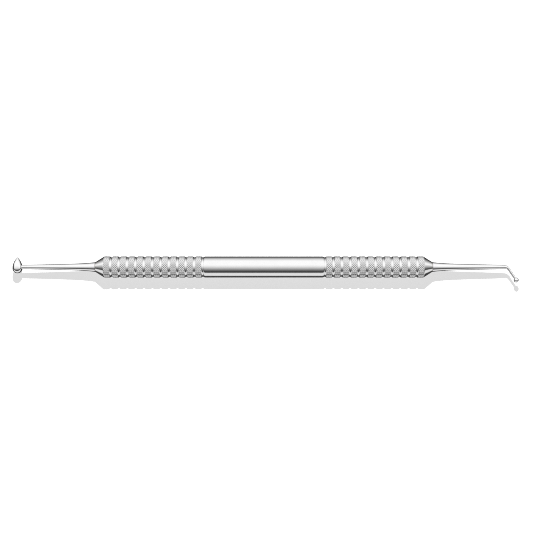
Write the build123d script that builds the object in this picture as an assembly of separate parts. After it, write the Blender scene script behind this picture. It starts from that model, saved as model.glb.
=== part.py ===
from build123d import *
import math
import os

# Double-ended dental burnisher, in millimetres.
# A hollow handle is closed by a cone plug at each end, and a working end is brazed into each plug:
# an acorn head at -X and a small ball on a bent neck at +X.
# The origin is the middle of the handle, on its axis.  +X runs towards the ball end, the acorn's
# point faces +Y and the ball end bends towards -Y, so both heads lie in the XY plane.

# Handle tube
BAND_R = 3.60               # knurled bands, over the knurl
CENTRE_R = 3.55             # smooth middle section
BORE_R = 2.50
TUBE_HALF = 53.50           # middle of the handle to the tube's end face
BANDS_PER_END = 12
BAND_PITCH = 2.79
FIRST_GROOVE_X = 20.45      # middle of the handle to the first groove's centre
GROOVE_WIDTH = 0.95
GROOVE_DEPTH = 0.32
CENTRE_CHAMFER = 0.10       # radial size of the chamfer at each end of the middle section
CENTRE_CHAMFER_LENGTH = 0.33

# Cone plugs
CONE_LENGTH = 2.95
CONE_FACE_R = 1.75          # small end of the cone
SPIGOT_LENGTH = 8.00
SPIGOT_CHAMFER = 0.40
TANG_R = 1.30               # tang and the plug's hole

# Brazed seam between plug and shank
SEAM_WIDTH = 0.20

# Tang and shank of each working end
TANG_LENGTH = 10.00
TANG_CHAMFER = 0.30
SHANK_D = 2.48              # shank diameter at the seam, before the flare is added
SHANK_TAPER = 0.044         # loss of diameter per millimetre of length
FLARE_D = 0.87              # diameter that the flare adds at the seam
FLARE_DECAY = 3.40          # length over which the flare dies away

# Acorn head
ACORN_X = 82.75             # middle of the handle to the head's axis
ACORN_R = 1.66
ACORN_TIP_Y = 3.30          # point of the acorn above the shank's axis
ACORN_BELLY_Y = -0.45       # height of the widest section

# Ball end
BEND_START_X = 80.92
BEND_R = 1.70               # radius of the bend at the neck's centre line
BEND_ANGLE = 55.7           # degrees, towards -Y
NECK_RUN_IN = 1.90          # last stretch of the straight shank, which narrows into the bend
NECK_START_R = 0.63         # at the start of the bend
NECK_BEND_R = 0.44          # at the end of the bend
NECK_END_R = 0.37           # where the neck meets the ball
NECK_LENGTH = 4.39          # end of the bend to the ball's centre
BALL_R = 0.82

CONE_FACE_X = TUBE_HALF + CONE_LENGTH
SHOULDER_X = CONE_FACE_X + SEAM_WIDTH


def turned(outline):
    """Solid turned about the X axis from a closed outline in the XY plane."""
    return revolve(make_face(outline), Axis.X)


def chain(points):
    """Straight lines through a list of points."""
    return [Line(a, b) for a, b in zip(points, points[1:])]


def groove(x, left_r, right_r):
    """Round-bottomed groove centred on x, between two outside radii."""
    half = GROOVE_WIDTH / 2
    return ThreePointArc((x - half, left_r), (x, BAND_R - GROOVE_DEPTH), (x + half, right_r))


def knurled_half(sign):
    """Grooves of one end of the handle, in the order they lie along X."""
    centres = [sign * (FIRST_GROOVE_X + k * BAND_PITCH) for k in range(BANDS_PER_END)]
    centres.sort()
    inner_r = CENTRE_R - CENTRE_CHAMFER
    arcs = []
    for x in centres:
        innermost = abs(x) == FIRST_GROOVE_X
        left_r = inner_r if innermost and sign > 0 else BAND_R
        right_r = inner_r if innermost and sign < 0 else BAND_R
        arcs.append(groove(x, left_r, right_r))
    return arcs


def lands(arcs):
    """Straight lines that join neighbouring groove arcs."""
    return [Line(a @ 1, b @ 0) for a, b in zip(arcs, arcs[1:])]


def handle_tube():
    left = knurled_half(-1)
    right = knurled_half(+1)
    chamfer_x = FIRST_GROOVE_X - GROOVE_WIDTH / 2 - CENTRE_CHAMFER_LENGTH
    middle = [left[-1] @ 1, (-chamfer_x, CENTRE_R), (chamfer_x, CENTRE_R), right[0] @ 0]
    left_end = [(-TUBE_HALF, BORE_R), (-TUBE_HALF, BAND_R), left[0] @ 0]
    right_end = [right[-1] @ 1, (TUBE_HALF, BAND_R), (TUBE_HALF, BORE_R)]
    bore = chain([(TUBE_HALF, BORE_R), (-TUBE_HALF, BORE_R)])
    edges = chain(left_end) + left + lands(left) + chain(middle)
    edges += right + lands(right) + chain(right_end) + bore
    return turned(Curve() + edges)


def cone_plug():
    """Plug for the +X end: spigot, cone and a hole right through for the tang."""
    spigot_x = TUBE_HALF - SPIGOT_LENGTH
    points = [
        (spigot_x, TANG_R),
        (spigot_x, BORE_R - SPIGOT_CHAMFER),
        (spigot_x + SPIGOT_CHAMFER, BORE_R),
        (TUBE_HALF, BORE_R),
        (TUBE_HALF, BAND_R),
        (CONE_FACE_X, CONE_FACE_R),
        (CONE_FACE_X, TANG_R),
        (spigot_x, TANG_R),
    ]
    return turned(Curve() + chain(points))


def shank_radius(x):
    """Shank radius at x: a straight taper with a flare that dies away from the seam."""
    s = x - CONE_FACE_X
    return (SHANK_D - SHANK_TAPER * s + FLARE_D * math.exp(-s / FLARE_DECAY)) / 2


def solder_ring():
    """Brazed seam at the +X end: it fills the gap between the cone's face and the shoulder."""
    points = [
        (CONE_FACE_X, TANG_R),
        (CONE_FACE_X, CONE_FACE_R),
        (SHOULDER_X, shank_radius(SHOULDER_X)),
        (SHOULDER_X, TANG_R),
        (CONE_FACE_X, TANG_R),
    ]
    return turned(Curve() + chain(points))


def tang_and_shank(taper_end_x, tip_points):
    """Tang, shoulder and tapered shank at the +X end.

    The taper runs to taper_end_x.  tip_points carry the outline on from there to the axis.
    """
    tang_x = SHOULDER_X - TANG_LENGTH
    length = taper_end_x - SHOULDER_X
    stations = [SHOULDER_X + length * f for f in (0, 0.04, 0.1, 0.2, 0.36, 0.6, 1)]
    side = Spline(*[(x, shank_radius(x)) for x in stations])
    root = [
        (tang_x, 0),
        (tang_x, TANG_R - TANG_CHAMFER),
        (tang_x + TANG_CHAMFER, TANG_R),
        (SHOULDER_X, TANG_R),
        side @ 0,
    ]
    tip = [side @ 1] + tip_points + [(tang_x, 0)]
    return turned(Curve() + chain(root) + [side] + chain(tip))


def acorn_head():
    """Drop-shaped head turned about Y: a round belly that draws out to a point at +Y."""
    point = Bezier(
        (ACORN_R, ACORN_BELLY_Y),
        (ACORN_R, ACORN_BELLY_Y + 1.60),
        (0.53 * ACORN_R, ACORN_TIP_Y - 0.95),
        (0, ACORN_TIP_Y),
    )
    bottom_y = ACORN_BELLY_Y - ACORN_R
    corner = ACORN_R * math.sqrt(0.5)
    belly = ThreePointArc((0, bottom_y), (corner, ACORN_BELLY_Y - corner), (ACORN_R, ACORN_BELLY_Y))
    axis_line = Line((0, ACORN_TIP_Y), (0, bottom_y))
    return revolve(make_face(Curve() + [point, belly, axis_line]), Axis.Y)


def acorn_working_end():
    shank = mirror(tang_and_shank(ACORN_X, [(ACORN_X, 0)]), about=Plane.YZ)
    return shank + Pos(-ACORN_X, 0, 0) * acorn_head()


def bent_neck():
    """Neck from the end of the straight shank to the ball's centre, and that centre."""
    bend = JernArc((BEND_START_X, 0), (1, 0), BEND_R, -BEND_ANGLE)
    sections = []
    for along, radius in ((0, NECK_START_R), (0.5, (NECK_START_R + NECK_BEND_R) / 2), (1, NECK_BEND_R)):
        place = bend ^ along
        sections.append(Plane(place.position, z_dir=place.z_axis.direction) * Circle(radius))
    elbow = sweep(sections, path=bend, multisection=True)
    neck_line = PolarLine(bend @ 1, NECK_LENGTH, -BEND_ANGLE)
    neck = Plane(neck_line @ 0.5, z_dir=neck_line % 0.5) * Cone(NECK_BEND_R, NECK_END_R, NECK_LENGTH)
    return elbow + neck, neck_line @ 1


def ball_working_end():
    shank = tang_and_shank(
        BEND_START_X - NECK_RUN_IN,
        [(BEND_START_X, NECK_START_R), (BEND_START_X, 0)],
    )
    neck, ball_centre = bent_neck()
    return shank + neck + Pos(*ball_centre) * Sphere(BALL_R)


def main():
    plug = cone_plug()
    ring = solder_ring()
    parts = {
        "handle_tube": handle_tube(),
        "acorn_end_cone": mirror(plug, about=Plane.YZ),
        "ball_end_cone": plug,
        "acorn_solder_ring": mirror(ring, about=Plane.YZ),
        "ball_solder_ring": ring,
        "acorn_working_end": acorn_working_end(),
        "ball_working_end": ball_working_end(),
    }
    os.makedirs("parts", exist_ok=True)
    for name, solid in parts.items():
        export_step(solid, f"parts/{name}.step")


main()
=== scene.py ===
import math

import bpy
import numpy as np
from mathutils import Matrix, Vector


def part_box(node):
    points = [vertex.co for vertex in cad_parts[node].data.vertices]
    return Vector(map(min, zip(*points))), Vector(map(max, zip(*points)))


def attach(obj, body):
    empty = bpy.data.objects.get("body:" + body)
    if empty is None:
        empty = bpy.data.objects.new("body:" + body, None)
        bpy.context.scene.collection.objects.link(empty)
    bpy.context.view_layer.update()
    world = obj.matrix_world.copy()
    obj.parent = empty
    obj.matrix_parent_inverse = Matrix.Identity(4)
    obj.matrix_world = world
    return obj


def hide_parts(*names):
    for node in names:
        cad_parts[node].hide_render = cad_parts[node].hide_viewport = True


# Looks for a double-ended dental burnisher.  Every visible piece is a closed mesh built here that
# stands for one CAD node.  Lengths are in millimetres until mesh_object() turns them into metres.
# The handle lies along X, the acorn's point faces +Y and the ball end bends towards -Y.
# Shapes of both ends are written for the +X side, and mirrored() puts them on the -X side.

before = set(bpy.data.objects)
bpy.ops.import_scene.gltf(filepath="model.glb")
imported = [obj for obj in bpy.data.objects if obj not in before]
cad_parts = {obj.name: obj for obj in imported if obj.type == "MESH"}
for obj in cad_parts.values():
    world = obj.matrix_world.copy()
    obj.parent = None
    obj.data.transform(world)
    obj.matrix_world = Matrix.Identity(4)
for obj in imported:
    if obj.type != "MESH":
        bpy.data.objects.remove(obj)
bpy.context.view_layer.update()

MM = 0.001
BODY = "root"


def box_mm(node):
    """Lowest and highest corner of a CAD node, in millimetres."""
    low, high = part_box(node)
    return low / MM, high / MM


TUBE_LOW, TUBE_HIGH = box_mm("handle_tube")
PLUG_LOW, PLUG_HIGH = box_mm("ball_end_cone")
_, RING_HIGH = box_mm("ball_solder_ring")
ACORN_LOW, ACORN_HIGH = box_mm("acorn_working_end")
BALL_LOW, BALL_HIGH = box_mm("ball_working_end")

# Handle
TUBE_HALF = TUBE_HIGH.x
BAND_R = TUBE_HIGH.z
CENTRE_R = BAND_R - 0.05
BORE_R = 2.50
TUBE_CHAMFER = 0.05
BANDS_PER_END = 12
BAND_PITCH = 2.79
FIRST_GROOVE_X = 20.45
GROOVE_WIDTH = 0.95
GROOVE_DEPTH = 0.32
GROOVE_EDGE = 0.03          # strip on each side of a groove that slopes up to the knurl
GROOVE_STEPS = 10
CENTRE_CHAMFER = 0.10
CENTRE_CHAMFER_LENGTH = 0.33

# Diamond knurl: two crossing sets of helical V grooves
DIAMONDS_ROUND = 32
DIAMOND_LENGTH = 0.70       # along the handle
KNURL_DEPTH = 0.10
KNURL_FLAT = 0.6            # share of a full diamond's height at which its top is cut flat
KNURL_STEPS = 5             # mesh steps per diamond, both ways
KNURL_COLUMNS = DIAMONDS_ROUND * KNURL_STEPS
SMOOTH_COLUMNS = KNURL_COLUMNS // 2

# Cone plugs and brazed seams
LATHE_COLUMNS = 128
SPIGOT_X = PLUG_LOW.x
SPIGOT_CHAMFER = 0.40
CONE_FACE_X = PLUG_HIGH.x
CONE_FACE_R = RING_HIGH.z
SHOULDER_X = RING_HIGH.x
TANG_R = 1.30

# Shanks
SHANK_COLUMNS = 96
TANG_X = BALL_LOW.x
TANG_CHAMFER = 0.30
SHANK_D = 2.48
SHANK_TAPER = 0.044
FLARE_D = 0.87
FLARE_DECAY = 3.40

# Acorn head
ACORN_R = ACORN_HIGH.z
ACORN_X = -ACORN_LOW.x - ACORN_R
ACORN_TIP_Y = ACORN_HIGH.y
ACORN_BELLY_Y = ACORN_LOW.y + ACORN_R
ACORN_TIP_R = 0.06
HEAD_FILLET = 0.22
HEAD_FILLET_BITE = math.radians(9)      # angle at which the fillet still cuts into the head
HEAD_OVERLAP = 0.012                    # depth to which it does
HEAD_FILLET_STEPS = 12

# Ball end
BALL_R = 0.82
BALL_X = BALL_HIGH.x - BALL_R
BEND_START_X = 80.92
BEND_R = 1.70
BEND_ANGLE = math.radians(55.7)
NECK_RUN_IN = 1.90
NECK_START_R = 0.63
NECK_BEND_R = 0.44
NECK_END_R = 0.37
NECK_BLEND = 0.6            # half the length over which a change of taper is smoothed
BALL_FILLET = 0.16

# Camera, lights and floor
CAMERA_POSITION = (0.9, 0.17, 350.0)
VIEW_WIDTH = 179.1          # width that the picture covers at the handle's axis
SENSOR_WIDTH = 36.0
LAMP_TILT = math.radians(39)
LAMP_POWER = 3.9            # watts
LAMP_SIZE = 10.0
FLOOR_GAP = 0.02            # keeps the floor off the handle's underside
FLOOR_HALF = 1500.0
FLOOR_GLOW = 0.70           # light of the floor's own under the instrument
FLOOR_NEAR = 100.0          # distance from the middle at which that glow starts to rise
FLOOR_FAR = 260.0           # and at which it has risen to white
WHITE = 1.05                # brightness of the backdrop
FLOOR_ALBEDO = 0.35
SHELL_R = 400.0             # studio shell that only reflections see

# The studio: soft boxes that run along X in a dark room, the same for every piece.
# Angles are in degrees about the X axis: 0 is straight up and 90 is the +Y side.
DEGREES = 180 / math.pi
ROOM_LIGHT = 0.06
BOX_HALF_LENGTH = 370.0
BOX_END_FADE = 30.0
SOFT_BOXES = (              # middle, half width, width of the soft edge, radiance
    (45, 15, 85, 1.2),      # large box overhead, on the lamp's side
    (-90, 15, 15, 0.9),     # low strip on the other side
)


# ---------------------------------------------------------------- surfaces laid ring by ring

class Skin:
    """Points and faces of a surface.  A face is flat-shaded and rough where smooth is False."""

    def __init__(self):
        self.points = []
        self.faces = []
        self.smooth = []

    def ring(self, points):
        """Adds one ring of points, or a single pole, and returns its vertex numbers."""
        start = len(self.points)
        self.points.extend(points)
        return list(range(start, len(self.points)))

    def face(self, corners, smooth):
        self.faces.append(tuple(corners))
        self.smooth.append(smooth)

    def strip(self, a, b, smooth=True, rising=None):
        """Faces from ring a to the next ring b.  One ring may be a pole or have half the columns."""
        if len(a) == 1:
            self.fan(a[0], b[::-1], smooth)
        elif len(b) == 1:
            self.fan(b[0], a, smooth)
        elif len(a) == len(b):
            self.equal_strip(a, b, smooth, rising)
        elif len(a) == 2 * len(b):
            self.halving_strip(a, b, smooth, 1)
        else:
            self.halving_strip(b, a, smooth, -1)

    def fan(self, pole, ring, smooth):
        for here, following in zip(ring, ring[1:] + ring[:1]):
            self.face((pole, here, following), smooth)

    def equal_strip(self, a, b, smooth, rising):
        """Quads, or triangles where rising(column) says which way each quad is split."""
        n = len(a)
        for i in range(n):
            k = (i + 1) % n
            if rising is None:
                self.face((a[i], a[k], b[k], b[i]), smooth)
            elif rising(i):
                self.face((a[i], a[k], b[i]), smooth)
                self.face((a[k], b[k], b[i]), smooth)
            else:
                self.face((a[i], a[k], b[k]), smooth)
                self.face((a[i], b[k], b[i]), smooth)

    def halving_strip(self, fine, coarse, smooth, order):
        n = len(coarse)
        for i in range(n):
            k = (i + 1) % n
            left, middle, right = fine[2 * i], fine[2 * i + 1], fine[(2 * i + 2) % (2 * n)]
            self.face((left, middle, coarse[i])[::order], smooth)
            self.face((middle, coarse[k], coarse[i])[::order], smooth)
            self.face((middle, right, coarse[k])[::order], smooth)

    def loft(self, rings):
        """Joins a list of rings in order."""
        for a, b in zip(rings, rings[1:]):
            self.strip(a, b)


def turns(columns):
    """Angle of each column round an axis."""
    return np.arange(columns) * (2 * math.pi / columns)


def circle(x, radii, columns):
    """Points round the X axis.  radii is one radius, or one for each column."""
    radius = np.broadcast_to(radii, columns)
    return [(x, r * math.cos(a), r * math.sin(a)) for r, a in zip(radius, turns(columns))]


def lathe_ring(skin, x, r, columns):
    """Ring round the X axis, or a pole where r is zero."""
    return skin.ring([(x, 0, 0)] if r < 1e-9 else circle(x, r, columns))


def lathe(outline, closed=False):
    """Skin turned about X from an outline of (x, r); closed joins its end to its start."""
    skin = Skin()
    rings = [lathe_ring(skin, x, r, LATHE_COLUMNS) for x, r in outline]
    skin.loft(rings + rings[:1] if closed else rings)
    return skin


def mirrored(skin):
    """The same skin at the handle's other end."""
    copy = Skin()
    copy.points = [(-x, y, z) for x, y, z in skin.points]
    copy.faces = [corners[::-1] for corners in skin.faces]
    copy.smooth = list(skin.smooth)
    return copy


def arc(centre, radius, start, end, steps):
    """Points of an arc, with angles in radians from the outline's first axis."""
    angles = np.linspace(start, end, steps + 1)
    return [(centre[0] + radius * math.cos(a), centre[1] + radius * math.sin(a)) for a in angles]


def bezier(p0, p1, p2, p3, steps):
    """Points of a cubic curve."""
    t = np.linspace(0, 1, steps + 1)[:, None]
    p0, p1, p2, p3 = (np.array(p, float) for p in (p0, p1, p2, p3))
    curve = (1 - t) ** 3 * p0 + 3 * t * (1 - t) ** 2 * p1 + 3 * t ** 2 * (1 - t) * p2 + t ** 3 * p3
    return [tuple(p) for p in curve]


def rounded(corners, steps=4):
    """Outline through corners (x, r, radius) with each inner corner rounded to its radius.

    An extra point beside each arc keeps the straight stretches flat under smooth shading.
    """
    outline = []
    for i, (x, r, radius) in enumerate(corners):
        here = np.array((x, r), float)
        if radius == 0:
            outline.append(tuple(here))
            continue
        back = np.array(corners[i - 1][:2]) - here
        ahead = np.array(corners[i + 1][:2]) - here
        back_length, ahead_length = np.linalg.norm(back), np.linalg.norm(ahead)
        back, ahead = back / back_length, ahead / ahead_length
        half_angle = math.acos(np.clip(back @ ahead, -1, 1)) / 2
        reach = radius / math.tan(half_angle)
        middle = (back + ahead) / np.linalg.norm(back + ahead)
        centre = here + middle * radius / math.sin(half_angle)
        first = here + back * reach - centre
        last = here + ahead * reach - centre
        outline.append(tuple(here + back * min(1.6 * reach, 0.5 * (reach + back_length))))
        for t in np.linspace(0, 1, steps + 1):
            ray = (1 - t) * first + t * last
            outline.append(tuple(centre + ray / np.linalg.norm(ray) * radius))
        outline.append(tuple(here + ahead * min(1.6 * reach, 0.5 * (reach + ahead_length))))
    return outline


# ---------------------------------------------------------------- handle

def triangle_wave(w):
    """0 in a knurl groove, 1 half-way between two grooves."""
    return 2 * np.abs(w - np.round(w))


def knurl_radii(row):
    """Radius of each column at a row of the knurl, counted in mesh steps from a band's middle."""
    column = np.arange(KNURL_COLUMNS)
    across = triangle_wave((column + row) / KNURL_STEPS)
    back = triangle_wave((column - row) / KNURL_STEPS)
    height = np.minimum(np.minimum(across, back), KNURL_FLAT) / KNURL_FLAT
    return BAND_R - KNURL_DEPTH * (1 - height)


def knurl_split(row):
    """How the quads after a row are split, so that no V groove is bridged."""
    column = np.arange(KNURL_COLUMNS)
    across = triangle_wave((column + row + 1) / KNURL_STEPS)
    back = triangle_wave((column - row) / KNURL_STEPS)
    rising = across <= back
    return lambda i: rising[i]


def add_band(skin, previous, middle_x, start_x, end_x):
    """Knurled band that follows the ring previous; returns its own last ring."""
    step = DIAMOND_LENGTH / KNURL_STEPS
    first, last = (start_x - middle_x) / step, (end_x - middle_x) / step
    inner = list(range(math.ceil(first + 0.5), math.floor(last - 0.5) + 1))
    rows = [first] + inner + [last]
    for i, row in enumerate(rows):
        ring = skin.ring(circle(middle_x + row * step, knurl_radii(row), KNURL_COLUMNS))
        split = knurl_split(math.floor(rows[i - 1] + 0.01)) if i else None
        skin.strip(previous, ring, False, split)
        previous = ring
    return previous


def add_smooth(skin, previous, outline, columns=SMOOTH_COLUMNS):
    """Smooth rings along an outline; returns the last one.  The step off a band counts as knurl."""
    for x, r in outline:
        ring = skin.ring(circle(x, r, columns))
        skin.strip(previous, ring, smooth=len(previous) == columns)
        previous = ring
    return previous


def groove(x, left_cut=None):
    """Outline of the round-bottomed groove at x; left_cut is the radius its left side stops at."""
    radius = (GROOVE_WIDTH ** 2 / 4 + GROOVE_DEPTH ** 2) / (2 * GROOVE_DEPTH)
    centre_r = BAND_R - GROOVE_DEPTH + radius
    right = math.asin((GROOVE_WIDTH / 2 - GROOVE_EDGE) / radius)
    left = math.acos((centre_r - left_cut) / radius) if left_cut else right
    bottom = -math.pi / 2
    return arc((x, centre_r), radius, bottom - left, bottom + right, GROOVE_STEPS)


def middle_half():
    """Outline from the handle's middle to the far side of the first groove."""
    first_groove = groove(FIRST_GROOVE_X, CENTRE_R - CENTRE_CHAMFER)
    chamfer_x = FIRST_GROOVE_X - GROOVE_WIDTH / 2 - CENTRE_CHAMFER_LENGTH
    shoulder = rounded([
        (0.9 * chamfer_x, CENTRE_R, 0),
        (chamfer_x, CENTRE_R, 0.5),
        (*first_groove[0], 0.04),
        (*first_groove[1], 0),
    ])
    plain = [(share * chamfer_x, CENTRE_R) for share in (0, 0.3, 0.6)]
    return plain + shoulder + first_groove[2:]


def handle_tube():
    """The whole tube in one skin, laid from its -X end face to its +X end face and back inside."""
    skin = Skin()
    end_r = BAND_R - KNURL_DEPTH - 0.02
    bore_edge = [(TUBE_HALF - TUBE_CHAMFER, BORE_R), (TUBE_HALF, BORE_R + TUBE_CHAMFER)]
    left_end = [(-x, r) for x, r in bore_edge] + [(-TUBE_HALF, end_r)]
    start = skin.ring(circle(*left_end[0], SMOOTH_COLUMNS))
    previous = add_smooth(skin, start, left_end[1:])

    half_band = (BAND_PITCH - GROOVE_WIDTH) / 2
    middles = [FIRST_GROOVE_X + (k + 0.5) * BAND_PITCH for k in range(BANDS_PER_END)]
    ends = [x + half_band for x in middles[:-1]] + [TUBE_HALF - TUBE_CHAMFER]
    for x, end in zip(middles[::-1], ends[::-1]):
        previous = add_band(skin, previous, -x, -end, half_band - x)
        if x != middles[0]:
            previous = add_smooth(skin, previous, groove(-x + BAND_PITCH / 2))
    half = middle_half()
    previous = add_smooth(skin, previous, [(-x, r) for x, r in half[:0:-1]] + half)
    for x, end in zip(middles, ends):
        previous = add_band(skin, previous, x, x - half_band, end)
        if x != middles[-1]:
            previous = add_smooth(skin, previous, groove(x + BAND_PITCH / 2))

    previous = add_smooth(skin, previous, [(TUBE_HALF, end_r)] + bore_edge[::-1])
    skin.strip(previous, start)
    return skin


# ---------------------------------------------------------------- plugs, seams and working ends

def cone_plug():
    return lathe(rounded([
        (SPIGOT_X, TANG_R, 0),
        (SPIGOT_X, BORE_R - SPIGOT_CHAMFER, 0.05),
        (SPIGOT_X + SPIGOT_CHAMFER, BORE_R, 0.05),
        (TUBE_HALF, BORE_R, 0.02),
        (TUBE_HALF, BAND_R, 0.06),
        (CONE_FACE_X, CONE_FACE_R, 0.04),
        (CONE_FACE_X, TANG_R, 0),
    ]), closed=True)


def shank_radius(x):
    """Shank radius at x: a straight taper with a flare that dies away from the seam."""
    s = x - CONE_FACE_X
    return (SHANK_D - SHANK_TAPER * s + FLARE_D * math.exp(-s / FLARE_DECAY)) / 2


def solder_ring():
    """Brazed seam whose outer face is slightly hollow."""
    middle_x = (CONE_FACE_X + SHOULDER_X) / 2
    hollow = arc((middle_x, CONE_FACE_R), 0.09, math.pi, 1.5 * math.pi, 4)
    outer = [(CONE_FACE_X, CONE_FACE_R)] + hollow + [(SHOULDER_X, shank_radius(SHOULDER_X))]
    return lathe([(CONE_FACE_X, TANG_R)] + outer + [(SHOULDER_X, TANG_R)], closed=True)


def shank_outline(end_x):
    """Tang, shoulder and taper up to end_x, with points closer together on the flare."""
    taper_x = SHOULDER_X + 0.3
    root = rounded([
        (TANG_X, 0, 0),
        (TANG_X, TANG_R - TANG_CHAMFER, 0.05),
        (TANG_X + TANG_CHAMFER, TANG_R, 0.05),
        (SHOULDER_X, TANG_R, 0.02),
        (SHOULDER_X, shank_radius(SHOULDER_X), 0.02),
        (taper_x, shank_radius(taper_x), 0),
    ])
    stations = taper_x + (end_x - taper_x) * np.linspace(0, 1, 40)[1:] ** 1.5
    return root + [(x, shank_radius(x)) for x in stations]


def acorn_outline():
    """(y, r) from the bottom of the acorn round the belly to its slightly blunted point."""
    belly = arc((ACORN_BELLY_Y, 0), ACORN_R, math.pi, math.pi / 2, 28)
    rise, width = 0.95, 0.53 * ACORN_R
    flank = bezier(
        (ACORN_BELLY_Y, ACORN_R),
        (ACORN_BELLY_Y + 1.60, ACORN_R),
        (ACORN_TIP_Y - rise, width),
        (ACORN_TIP_Y, 0),
        44,
    )
    turn = math.atan2(rise, width)
    tip = arc((ACORN_TIP_Y - ACORN_TIP_R / math.cos(turn), 0), ACORN_TIP_R, turn, 0, 5)
    flank = [p for p in flank[1:] if p[0] < tip[0][0] - 0.01]
    return belly + flank + tip


def acorn_head():
    """Head turned about the Y direction at ACORN_X."""
    skin = Skin()
    angles = turns(SHANK_COLUMNS)
    rings = []
    for y, r in acorn_outline():
        if r < 1e-6:
            rings.append(skin.ring([(ACORN_X, y, 0)]))
        else:
            rings.append(skin.ring([(ACORN_X + r * math.sin(a), y, r * math.cos(a)) for a in angles]))
    skin.loft(rings)
    return skin


def fillet_end(a, heights, radii, slopes):
    """Radius, x and turn of the fillet where it meets the head, at an angle a round the shank.

    The turn sets the radius and the head's slope there sets the turn, so a few rounds settle both.
    """
    turn = math.pi / 2
    for _ in range(6):
        r = shank_radius(ACORN_X - ACORN_R) + HEAD_FILLET * (1 - math.cos(turn))
        y, z = r * math.cos(a), r * math.sin(a)
        head_r = np.interp(y, heights, radii)
        depth = math.sqrt(head_r ** 2 - z ** 2)
        outward = z * math.sin(a) - np.interp(y, heights, slopes) * head_r * math.cos(a)
        turn = math.atan2(depth, outward) - HEAD_FILLET_BITE
    return r, ACORN_X - depth, turn


def acorn_shank():
    """Shank whose end spreads in a fillet that runs into the head all round, and closes inside it."""
    heights, radii = (np.array(values) for values in zip(*acorn_outline()))
    slopes = np.gradient(radii, heights)
    ends = [(a, *fillet_end(a, heights, radii, slopes)) for a in turns(SHANK_COLUMNS)]
    skin = Skin()
    rings = [lathe_ring(skin, x, r, SHANK_COLUMNS) for x, r in shank_outline(ACORN_X - ACORN_R - 1)]
    for share in np.linspace(0, 1, HEAD_FILLET_STEPS + 1):
        points = []
        for a, _, end_x, turn in ends:
            x = end_x + HEAD_OVERLAP + HEAD_FILLET * (math.sin(share * turn) - math.sin(turn))
            r = shank_radius(x) + HEAD_FILLET * (1 - math.cos(share * turn))
            points.append((x, r * math.cos(a), r * math.sin(a)))
        rings.append(skin.ring(points))
    inside = [(a, 0.8 * r, end_x + 0.3) for a, r, end_x, _ in ends]
    rings.append(skin.ring([(x, r * math.cos(a), r * math.sin(a)) for a, r, x in inside]))
    rings.append(skin.ring([(ACORN_X - 0.5, 0, 0)]))
    skin.loft(rings)
    return skin


BEND_END = BEND_START_X + BEND_R * BEND_ANGLE                        # length along the ball end
BEND_END_X = BEND_START_X + BEND_R * math.sin(BEND_ANGLE)
BALL_AT = BEND_END + (BALL_X - BEND_END_X) / math.cos(BEND_ANGLE)    # length to the ball's centre


def neck_point(along):
    """Centre line of the ball end and its turn towards -Y, by length along it."""
    turn = min(max((along - BEND_START_X) / BEND_R, 0), BEND_ANGLE)
    straight = max(along - BEND_END, 0)
    x = min(along, BEND_START_X) + BEND_R * math.sin(turn) + straight * math.cos(turn)
    y = -BEND_R * (1 - math.cos(turn)) - straight * math.sin(turn)
    return x, y, turn


def neck_radius(along):
    """Radius from the run-in of the bend to the ball, with changes of taper smoothed."""
    run_in_x = BEND_START_X - NECK_RUN_IN
    stations = (run_in_x - 1, run_in_x, BEND_START_X, BEND_END, BALL_AT)
    radii = (shank_radius(run_in_x - 1), shank_radius(run_in_x), NECK_START_R, NECK_BEND_R, NECK_END_R)
    window = along + np.linspace(-NECK_BLEND, NECK_BLEND, 13)
    return float(np.interp(window, stations, radii).mean())


def ball_outline():
    """(length along the centre line, radius) for the whole ball working end."""
    run_in_x = BEND_START_X - NECK_RUN_IN - NECK_BLEND
    reach = BALL_R + BALL_FILLET
    fillet_r = neck_radius(BALL_AT - BALL_R) + BALL_FILLET
    fillet_at = BALL_AT - math.sqrt(reach ** 2 - fillet_r ** 2)
    turn = math.asin(fillet_r / reach)
    neck = [(s, neck_radius(s)) for s in np.linspace(run_in_x, fillet_at, 60)[1:-1]]
    fillet = arc((fillet_at, fillet_r), BALL_FILLET, -math.pi / 2, -turn, 6)
    ball = arc((BALL_AT, 0), BALL_R, math.pi - turn, 0, 40)
    return shank_outline(run_in_x) + neck + fillet + ball[1:]


def ball_working_end():
    skin = Skin()
    angles = turns(SHANK_COLUMNS)
    rings = []
    for along, r in ball_outline():
        x, y, turn = neck_point(along)
        if r < 1e-6:
            rings.append(skin.ring([(x, y, 0)]))
            continue
        rings.append(skin.ring([
            (x + r * math.cos(a) * math.sin(turn), y + r * math.cos(a) * math.cos(turn), r * math.sin(a))
            for a in angles
        ]))
    skin.loft(rings)
    return skin


# ---------------------------------------------------------------- materials

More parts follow.
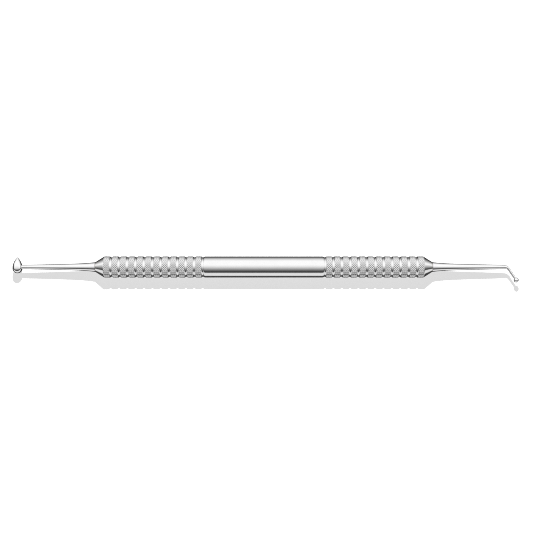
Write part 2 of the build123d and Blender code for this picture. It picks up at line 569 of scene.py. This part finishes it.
class Graph:
    """Short way to write a node tree."""

    def __init__(self, owner):
        owner.use_nodes = True
        self.tree = owner.node_tree
        self.tree.nodes.clear()

    def add(self, kind, inputs=None, **settings):
        """New node.  inputs maps socket names or numbers to values or to other nodes' outputs."""
        node = self.tree.nodes.new(kind)
        for name, value in settings.items():
            setattr(node, name, value)
        for socket, value in (inputs or {}).items():
            if isinstance(value, bpy.types.NodeSocket):
                self.tree.links.new(value, node.inputs[socket])
            else:
                node.inputs[socket].default_value = value
        return node

    def math(self, operation, *values):
        return self.add("ShaderNodeMath", dict(enumerate(values)), operation=operation).outputs[0]

    def scaled(self, vector, factor):
        node = self.add("ShaderNodeVectorMath", {0: vector, "Scale": factor}, operation="SCALE")
        return node.outputs[0]

    def split(self, vector):
        """The x, y and z of a vector."""
        return self.add("ShaderNodeSeparateXYZ", {0: vector}).outputs

    def squares(self, a, b):
        """The sum of two squares."""
        return self.math("ADD", self.math("MULTIPLY", a, a), self.math("MULTIPLY", b, b))

    def span(self, value, start, end, low=0.0, high=1.0):
        """Value between start and end, eased and mapped to low and high."""
        inputs = {"Value": value, "From Min": start, "From Max": end, "To Min": low, "To Max": high}
        return self.add("ShaderNodeMapRange", inputs, interpolation_type="SMOOTHSTEP").outputs[0]

    def mix(self, factor, a, b):
        inputs = {"Factor": factor, 6: a, 7: b}
        return self.add("ShaderNodeMix", inputs, data_type="RGBA").outputs[2]

    def noise(self, vector, scale, detail=3.0):
        inputs = {"Vector": vector, "Scale": scale, "Detail": detail}
        return self.add("ShaderNodeTexNoise", inputs).outputs["Fac"]


class Place:
    """Positions on the instrument, in millimetres, as sockets."""

    def __init__(self, graph):
        self.vector = graph.scaled(graph.add("ShaderNodeTexCoord").outputs["Object"], 1 / MM)
        x, y, z = graph.split(self.vector)
        self.from_middle = graph.math("ABSOLUTE", x)
        self.radius = graph.math("SQRT", graph.squares(y, z))


def finish_steel(graph, colour, roughness, height, bump):
    """Metal shader with a bump of the given distance in metres."""
    normal = graph.add("ShaderNodeBump", {"Height": height, "Strength": 1.0, "Distance": bump}).outputs[0]
    shader = graph.add("ShaderNodeBsdfPrincipled", {
        "Base Color": colour, "Metallic": 1.0, "Roughness": roughness, "Normal": normal,
    })
    graph.add("ShaderNodeOutputMaterial", {"Surface": shader.outputs[0]})


def grey(value):
    return (value, value, value, 1.0)


def turned_steel():
    """Handle middle, grooves and cones: polished on the lathe, with a breath of straw by the braze."""
    material = bpy.data.materials.new("turned_steel")
    graph = Graph(material)
    place = Place(graph)
    stretched = graph.add("ShaderNodeMapping", {"Vector": place.vector, "Scale": (14.0, 0.15, 0.15)})
    marks = graph.noise(stretched.outputs[0], 1.0)
    smears = graph.noise(place.vector, 0.35)
    handled = graph.noise(place.vector, 2.2, detail=6.0)
    colour = graph.mix(smears, grey(0.74), grey(0.80))
    braze = graph.span(place.from_middle, CONE_FACE_X - 1.0, CONE_FACE_X, 0.0, 0.15)
    colour = graph.mix(braze, colour, (0.74, 0.70, 0.62, 1.0))
    polish = graph.span(handled, 0.35, 0.75, 0.07, 0.13)
    roughness = graph.math("ADD", polish, graph.math("MULTIPLY", marks, 0.03))
    finish_steel(graph, colour, roughness, marks, 2e-7)
    return material


def knurled_steel():
    """Knurled bands: dull in the cut valleys, with painted shade that darkens them, and crests worn
    bright in patches by wear.
    """
    material = bpy.data.materials.new("knurled_steel")
    graph = Graph(material)
    place = Place(graph)
    # Painted shade: the colour runs from light grey on the crests to dark grey at the valley bottoms,
    # standing in for the shade in the cut valleys; the wear noise only varies the crests.
    unshaded_crest = graph.span(place.radius, BAND_R - KNURL_DEPTH, BAND_R)
    wear = graph.noise(place.vector, 0.9, detail=5.0)
    grain = graph.noise(place.vector, 30.0)
    wear_and_valley_shade = graph.math("MULTIPLY", unshaded_crest, graph.span(wear, 0.3, 0.7, 0.75, 1.0))
    colour = graph.mix(wear_and_valley_shade, grey(0.58), grey(0.88))
    roughness = graph.span(wear_and_valley_shade, 0.0, 1.0, 0.28, 0.12)
    finish_steel(graph, colour, roughness, grain, 1e-6)
    return material


def polished_steel():
    """Shanks and heads: mirror polish with hairlines, and a breath of violet by the braze."""
    material = bpy.data.materials.new("polished_steel")
    graph = Graph(material)
    place = Place(graph)
    slanted = graph.add("ShaderNodeMapping", {
        "Vector": place.vector, "Rotation": (0.3, 0.5, 0.9), "Scale": (18.0, 1.2, 1.2),
    })
    hairlines = graph.noise(slanted.outputs[0], 1.0)
    smears = graph.noise(place.vector, 0.8)
    colour = graph.mix(smears, grey(0.76), grey(0.82))
    braze = graph.span(place.from_middle, SHOULDER_X + 1.6, SHOULDER_X, 0.0, 0.30)
    colour = graph.mix(braze, colour, (0.74, 0.71, 0.77, 1.0))
    roughness = graph.span(hairlines, 0.3, 0.8, 0.06, 0.12)
    finish_steel(graph, colour, roughness, hairlines, 1.5e-7)
    return material


def silver_solder():
    """Brazed seam: a dull, slightly warm metal with a cast skin, darker than the polished steel."""
    material = bpy.data.materials.new("silver_solder")
    graph = Graph(material)
    place = Place(graph)
    skin = graph.noise(place.vector, 9.0, detail=4.0)
    colour = graph.mix(skin, (0.40, 0.385, 0.36, 1.0), (0.56, 0.545, 0.52, 1.0))
    roughness = graph.span(skin, 0.3, 0.7, 0.22, 0.36)
    finish_steel(graph, colour, roughness, skin, 4e-6)
    return material


# ---------------------------------------------------------------- pieces

def mesh_object(name, skin, materials):
    """Mesh object in metres.  Flat-shaded faces take the last material."""
    mesh = bpy.data.meshes.new(name)
    mesh.from_pydata([tuple(c * MM for c in p) for p in skin.points], [], skin.faces)
    for material in materials:
        mesh.materials.append(material)
    mesh.polygons.foreach_set("use_smooth", skin.smooth)
    last = len(materials) - 1
    mesh.polygons.foreach_set("material_index", [0 if smooth else last for smooth in skin.smooth])
    mesh.update()
    result = bpy.data.objects.new(name, mesh)
    bpy.context.scene.collection.objects.link(result)
    return result


def adopt(result, node):
    """Makes an object stand for a CAD node and ride on the body."""
    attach(result, BODY)
    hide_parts(node)


def union_object(name, first, second, materials):
    """Object for the union of two closed skins."""
    base = mesh_object(name, first, materials)
    tool = mesh_object(name + "_tool", second, materials)
    union = base.modifiers.new("union", "BOOLEAN")
    union.operation = "UNION"
    union.solver = "EXACT"
    union.object = tool
    evaluated = base.evaluated_get(bpy.context.evaluated_depsgraph_get())
    mesh = bpy.data.meshes.new_from_object(evaluated)
    base.modifiers.clear()
    base.data = mesh
    bpy.data.objects.remove(tool)
    return base


def build_instrument():
    turned, polished, solder = turned_steel(), polished_steel(), silver_solder()
    tube = mesh_object("knurled_handle", handle_tube(), [turned, knurled_steel()])
    adopt(tube, "handle_tube")
    plug, ring = cone_plug(), solder_ring()
    for end, plug_skin, ring_skin in (("acorn", mirrored(plug), mirrored(ring)), ("ball", plug, ring)):
        cone = mesh_object(f"cone_plug_{end}_end", plug_skin, [turned])
        adopt(cone, f"{end}_end_cone")
        seam = mesh_object(f"brazed_seam_{end}_end", ring_skin, [solder])
        adopt(seam, f"{end}_solder_ring")
    acorn = union_object("acorn_burnisher", mirrored(acorn_shank()), mirrored(acorn_head()), [polished])
    adopt(acorn, "acorn_working_end")
    ball = mesh_object("ball_burnisher", ball_working_end(), [polished])
    adopt(ball, "ball_working_end")


# ---------------------------------------------------------------- studio

def build_floor():
    """Pale floor that glows, so that the shadow on it is a flat light grey.

    Far from the instrument, where the lamp is weak, the glow alone makes it as white as the backdrop.
    """
    material = bpy.data.materials.new("pale_floor")
    graph = Graph(material)
    matt = graph.add("ShaderNodeBsdfDiffuse", {"Color": grey(FLOOR_ALBEDO)})
    position = graph.add("ShaderNodeTexCoord").outputs["Object"]
    distance = graph.add("ShaderNodeVectorMath", {0: position}, operation="LENGTH").outputs["Value"]
    strength = graph.span(distance, FLOOR_NEAR * MM, FLOOR_FAR * MM, FLOOR_GLOW, WHITE)
    glow = graph.add("ShaderNodeEmission", {"Color": grey(1.0), "Strength": strength})
    both = graph.add("ShaderNodeAddShader", {0: matt.outputs[0], 1: glow.outputs[0]})
    graph.add("ShaderNodeOutputMaterial", {"Surface": both.outputs[0]})
    z = TUBE_LOW.z - FLOOR_GAP
    skin = Skin()
    corners = [(-1, -1), (1, -1), (1, 1), (-1, 1)]
    skin.face(skin.ring([(x * FLOOR_HALF, y * FLOOR_HALF, z) for x, y in corners]), False)
    floor = mesh_object("floor", skin, [material])
    floor.visible_glossy = False


def build_lamp():
    """Key light on the +Y side, so that the shadow falls towards -Y.

    It hangs as high as the camera: the shadow then keeps straight below the instrument at both ends.
    """
    light = bpy.data.lights.new("lamp", "AREA")
    light.shape = "DISK"
    light.size = LAMP_SIZE * MM
    light.energy = LAMP_POWER
    lamp = bpy.data.objects.new("lamp", light)
    x, _, z = CAMERA_POSITION
    lamp.location = (x * MM, z * math.tan(LAMP_TILT) * MM, z * MM)
    lamp.rotation_euler = (-LAMP_TILT, 0, 0)
    lamp.visible_glossy = False
    bpy.context.scene.collection.objects.link(lamp)


def build_world():
    """White backdrop for the camera alone."""
    world = bpy.data.worlds.new("backdrop")
    bpy.context.scene.world = world
    graph = Graph(world)
    white = graph.add("ShaderNodeBackground", {"Color": grey(1.0), "Strength": WHITE})
    dark = graph.add("ShaderNodeBackground", {"Color": grey(0.0)})
    seen = graph.add("ShaderNodeLightPath").outputs["Is Camera Ray"]
    both = graph.add("ShaderNodeMixShader", {0: seen, 1: dark.outputs[0], 2: white.outputs[0]})
    graph.add("ShaderNodeOutputWorld", {"Surface": both.outputs[0]})


def studio_light():
    """Glow of the shell round the instrument: soft boxes along X in a dark room."""
    material = bpy.data.materials.new("studio_light")
    graph = Graph(material)
    x, y, z = graph.split(graph.add("ShaderNodeTexCoord").outputs["Object"])
    angle = graph.math("MULTIPLY", graph.math("ARCTAN2", y, z), DEGREES)
    box_end = (BOX_HALF_LENGTH + BOX_END_FADE) * MM
    along = graph.span(graph.math("ABSOLUTE", x), box_end, BOX_HALF_LENGTH * MM)
    light = ROOM_LIGHT
    for middle, half_width, edge, radiance in SOFT_BOXES:
        off = graph.math("ABSOLUTE", graph.math("SUBTRACT", angle, middle))
        box = graph.span(off, half_width + edge, half_width, 0.0, radiance)
        light = graph.math("ADD", graph.math("MULTIPLY", box, along), light)
    glow = graph.add("ShaderNodeEmission", {"Color": grey(1.0), "Strength": light})
    graph.add("ShaderNodeOutputMaterial", {"Surface": glow.outputs[0]})
    return material


def build_studio():
    """Shell that is seen in reflections and nowhere else."""
    skin = Skin()
    latitudes = np.linspace(0, math.pi, 25)
    rings = [lathe_ring(skin, SHELL_R * math.cos(a), SHELL_R * math.sin(a), 48) for a in latitudes]
    skin.loft(rings)
    shell = mesh_object("studio_shell", skin, [studio_light()])
    shell.visible_camera = False
    shell.visible_diffuse = False
    shell.visible_shadow = False


def build_camera():
    """Straight above the instrument, with +Y up in the picture."""
    lens = bpy.data.cameras.new("camera")
    lens.sensor_width = SENSOR_WIDTH
    lens.lens = CAMERA_POSITION[2] * SENSOR_WIDTH / VIEW_WIDTH
    lens.clip_start, lens.clip_end = 0.01, 10.0
    camera = bpy.data.objects.new("camera", lens)
    camera.location = [c * MM for c in CAMERA_POSITION]
    bpy.context.scene.collection.objects.link(camera)
    bpy.context.scene.camera = camera


build_instrument()
build_floor()
build_lamp()
build_world()
build_studio()
build_camera()
bpy.context.scene.view_settings.view_transform = "Standard"
# The knurl's diamonds are about two pixels wide: a wider filter or denoising would wipe them out.
bpy.context.scene.cycles.filter_width = 1.0
bpy.context.scene.cycles.use_denoising = False
